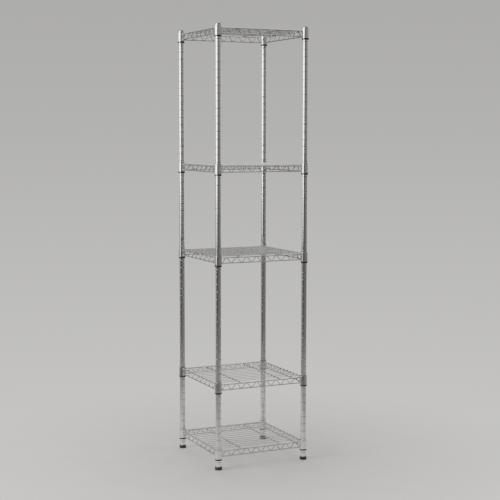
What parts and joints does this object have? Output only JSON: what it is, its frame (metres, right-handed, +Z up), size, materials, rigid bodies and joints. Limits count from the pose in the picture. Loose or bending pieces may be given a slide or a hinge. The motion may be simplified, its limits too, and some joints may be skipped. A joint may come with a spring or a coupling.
{
  "type": "wire shelving unit",
  "caption": "Square chrome wire shelving tower: round grooved posts, welded wire shelves on tapered sleeves, zigzag side rails and levelling feet.",
  "frame": {"origin": "on the floor, at the middle of the square of the four feet", "axes": "+Z up the posts; the front is the -Y side, and the thin deck wires run along X"},
  "size_m": [0.3484, 0.3484, 1.5],
  "materials": {
    "post_chrome": "polished chrome plate",
    "collar_chrome": "polished chrome plate",
    "wire_chrome": "chrome plate on drawn wire",
    "zinc_steel": "zinc-plated steel",
    "sleeve_plastic": "moulded black plastic",
    "foot_plastic": "moulded black plastic",
    "cap_plastic": "smooth dark grey plastic"
  },
  "bodies": {
    "tower": {"post_lower_front_left": "post_chrome", "post_lower_front_right": "post_chrome", "post_lower_back_left": "post_chrome", "post_lower_back_right": "post_chrome", "post_upper_front_left": "post_chrome", "post_upper_front_right": "post_chrome", "post_upper_back_left": "post_chrome", "post_upper_back_right": "post_chrome", "post_joint_plugs": "zinc_steel", "post_joint_studs": "zinc_steel", "post_caps": "cap_plastic", "post_foot_plugs": "zinc_steel", "sleeves_1": "sleeve_plastic", "sleeves_2": "sleeve_plastic", "sleeves_3": "sleeve_plastic", "sleeves_4": "sleeve_plastic", "sleeves_5": "sleeve_plastic"},
    "shelf_1": {"collars_1": "collar_chrome", "upper_rails_1": "wire_chrome", "lower_rails_1": "wire_chrome", "zigzag_wires_1": "wire_chrome", "deck_wires_1": "wire_chrome", "cross_braces_1": "wire_chrome"},
    "shelf_2": {"collars_2": "collar_chrome", "upper_rails_2": "wire_chrome", "lower_rails_2": "wire_chrome", "zigzag_wires_2": "wire_chrome", "deck_wires_2": "wire_chrome", "cross_braces_2": "wire_chrome"},
    "shelf_3": {"collars_3": "collar_chrome", "upper_rails_3": "wire_chrome", "lower_rails_3": "wire_chrome", "zigzag_wires_3": "wire_chrome", "deck_wires_3": "wire_chrome", "cross_braces_3": "wire_chrome"},
    "shelf_4": {"collars_4": "collar_chrome", "upper_rails_4": "wire_chrome", "lower_rails_4": "wire_chrome", "zigzag_wires_4": "wire_chrome", "deck_wires_4": "wire_chrome", "cross_braces_4": "wire_chrome"},
    "shelf_5": {"collars_5": "collar_chrome", "upper_rails_5": "wire_chrome", "lower_rails_5": "wire_chrome", "zigzag_wires_5": "wire_chrome", "deck_wires_5": "wire_chrome", "cross_braces_5": "wire_chrome"},
    "foot_front_left": {"foot_pad_front_left": "foot_plastic", "foot_stud_front_left": "zinc_steel"},
    "foot_front_right": {"foot_pad_front_right": "foot_plastic", "foot_stud_front_right": "zinc_steel"},
    "foot_back_left": {"foot_pad_back_left": "foot_plastic", "foot_stud_back_left": "zinc_steel"},
    "foot_back_right": {"foot_pad_back_right": "foot_plastic", "foot_stud_back_right": "zinc_steel"}
  },
  "joints": [
    {"name": "shelf_1_lift", "type": "slide", "parent": "tower", "child": "shelf_1", "axis": [0, 0, 1], "range_m": [0, 0.19]},
    {"name": "shelf_2_lift", "type": "slide", "parent": "tower", "child": "shelf_2", "axis": [0, 0, 1], "range_m": [0, 0.393]},
    {"name": "shelf_3_lift", "type": "slide", "parent": "tower", "child": "shelf_3", "axis": [0, 0, 1], "range_m": [0, 0.266]},
    {"name": "shelf_4_lift", "type": "slide", "parent": "tower", "child": "shelf_4", "axis": [0, 0, 1], "range_m": [0, 0.419]},
    {"name": "shelf_5_lift", "type": "slide", "parent": "tower", "child": "shelf_5", "axis": [0, 0, 1], "range_m": [0, 0.08]},
    {"name": "foot_front_left_screw", "type": "slide", "parent": "tower", "child": "foot_front_left", "axis": [0, 0, -1], "range_m": [0, 0.012]},
    {"name": "foot_front_right_screw", "type": "slide", "parent": "tower", "child": "foot_front_right", "axis": [0, 0, -1], "range_m": [0, 0.012]},
    {"name": "foot_back_left_screw", "type": "slide", "parent": "tower", "child": "foot_back_left", "axis": [0, 0, -1], "range_m": [0, 0.012]},
    {"name": "foot_back_right_screw", "type": "slide", "parent": "tower", "child": "foot_back_right", "axis": [0, 0, -1], "range_m": [0, 0.012]}
  ]
}
